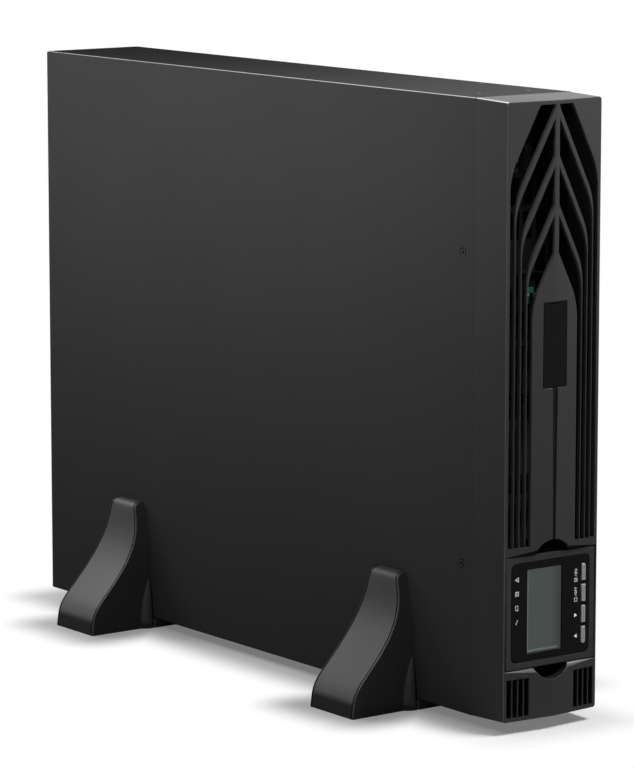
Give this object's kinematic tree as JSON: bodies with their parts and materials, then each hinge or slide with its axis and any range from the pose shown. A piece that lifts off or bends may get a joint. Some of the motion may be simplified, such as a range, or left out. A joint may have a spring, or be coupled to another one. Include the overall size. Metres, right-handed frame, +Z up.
{
  "type": "uninterruptible power supply",
  "caption": "Slim black rack and tower uninterruptible power supply standing on tower feet, with a vented bezel, a display module, a slide-out battery pack and rear sockets.",
  "frame": {"origin": "on the floor under the middle of the whole object's box", "axes": "+Z up, the bezel and display face -Y, the sockets and fans face +Y, +X to the right seen from the front"},
  "size_m": [0.1968, 0.5944, 0.446],
  "materials": {
    "steel_paint": "fine satin powder coat, near black",
    "zinc": "bright zinc plate",
    "black_plastic": "fine moulded grain, near black",
    "gloss_black": "smooth black overlay",
    "lcd_grey": "grey-green display window, unlit",
    "button_grey": "satin grey",
    "board_green": "green solder mask",
    "battery_grey": "dark grey moulded plastic",
    "aluminium": "extruded, bare",
    "copper": "enamelled copper winding",
    "terminal_green": "green terminal block plastic"
  },
  "bodies": {
    "chassis": {"cover": "steel_paint", "base_pan": "steel_paint", "front_frame": "steel_paint", "rear_panel": "steel_paint", "bay_divider": "zinc", "side_screw_upper": "zinc", "side_screw_lower": "zinc", "foot_front_left": "black_plastic", "foot_front_right": "black_plastic", "foot_rear_left": "black_plastic", "foot_rear_right": "black_plastic", "battery_socket": "black_plastic", "main_board": "board_green", "control_board": "board_green", "heat_sink_front": "aluminium", "heat_sink_rear": "aluminium", "transformer": "battery_grey", "input_choke": "copper", "output_choke": "copper", "capacitor_1": "battery_grey", "capacitor_2": "battery_grey", "capacitor_3": "battery_grey", "fan_frame_lower": "black_plastic", "fan_frame_upper": "black_plastic", "fan_guard_lower": "zinc", "fan_guard_upper": "zinc", "mains_inlet": "black_plastic", "battery_port": "button_grey", "outlet_strip_left": "black_plastic", "outlet_strip_right": "black_plastic", "breaker_body": "black_plastic", "serial_port": "zinc", "usb_port": "zinc", "slot_cover": "steel_paint", "emergency_terminal": "terminal_green"},
    "battery_pack": {"battery_tray": "zinc", "battery_door": "steel_paint", "pack_handle": "black_plastic", "battery_1": "battery_grey", "battery_2": "battery_grey", "battery_3": "battery_grey", "battery_4": "battery_grey", "battery_5": "battery_grey", "battery_6": "battery_grey", "battery_plug": "black_plastic"},
    "bezel": {"front_bezel": "black_plastic", "badge_plate": "gloss_black"},
    "display": {"display_housing": "black_plastic", "display_panel": "gloss_black", "lcd_window": "lcd_grey", "lcd_board": "board_green"},
    "on_key": {"button_on": "button_grey"},
    "off_key": {"button_off": "button_grey"},
    "down_key": {"button_down": "button_grey"},
    "up_key": {"button_up": "button_grey"},
    "lower_rotor": {"fan_rotor_lower": "black_plastic"},
    "upper_rotor": {"fan_rotor_upper": "black_plastic"},
    "breaker_reset": {"breaker_button": "button_grey"}
  },
  "joints": [
    {"name": "pack_slide", "type": "slide", "parent": "chassis", "child": "battery_pack", "axis": [0, -1, 0], "range_m": [0, 0.3]},
    {"name": "bezel_pull", "type": "slide", "parent": "battery_pack", "child": "bezel", "axis": [0, -1, 0], "range_m": [0, 0.05]},
    {"name": "display_pull", "type": "slide", "parent": "bezel", "child": "display", "axis": [0, -1, 0], "range_m": [0, 0.035]},
    {"name": "on_press", "type": "slide", "parent": "display", "child": "on_key", "axis": [0, 1, 0], "range_m": [0, 0.0012], "stiffness_N_per_m": 400},
    {"name": "off_press", "type": "slide", "parent": "display", "child": "off_key", "axis": [0, 1, 0], "range_m": [0, 0.0012], "stiffness_N_per_m": 400},
    {"name": "down_press", "type": "slide", "parent": "display", "child": "down_key", "axis": [0, 1, 0], "range_m": [0, 0.0012], "stiffness_N_per_m": 400},
    {"name": "up_press", "type": "slide", "parent": "display", "child": "up_key", "axis": [0, 1, 0], "range_m": [0, 0.0012], "stiffness_N_per_m": 400},
    {"name": "lower_fan_spin", "type": "hinge", "parent": "chassis", "child": "lower_rotor", "pos_m": [0, 0.2652, 0.29348], "axis": [0, 1, 0], "continuous": true},
    {"name": "upper_fan_spin", "type": "hinge", "parent": "chassis", "child": "upper_rotor", "pos_m": [0, 0.2652, 0.38826], "axis": [0, 1, 0], "continuous": true},
    {"name": "breaker_pop", "type": "slide", "parent": "chassis", "child": "breaker_reset", "axis": [0, 1, 0], "range_m": [0, 0.004]}
  ]
}
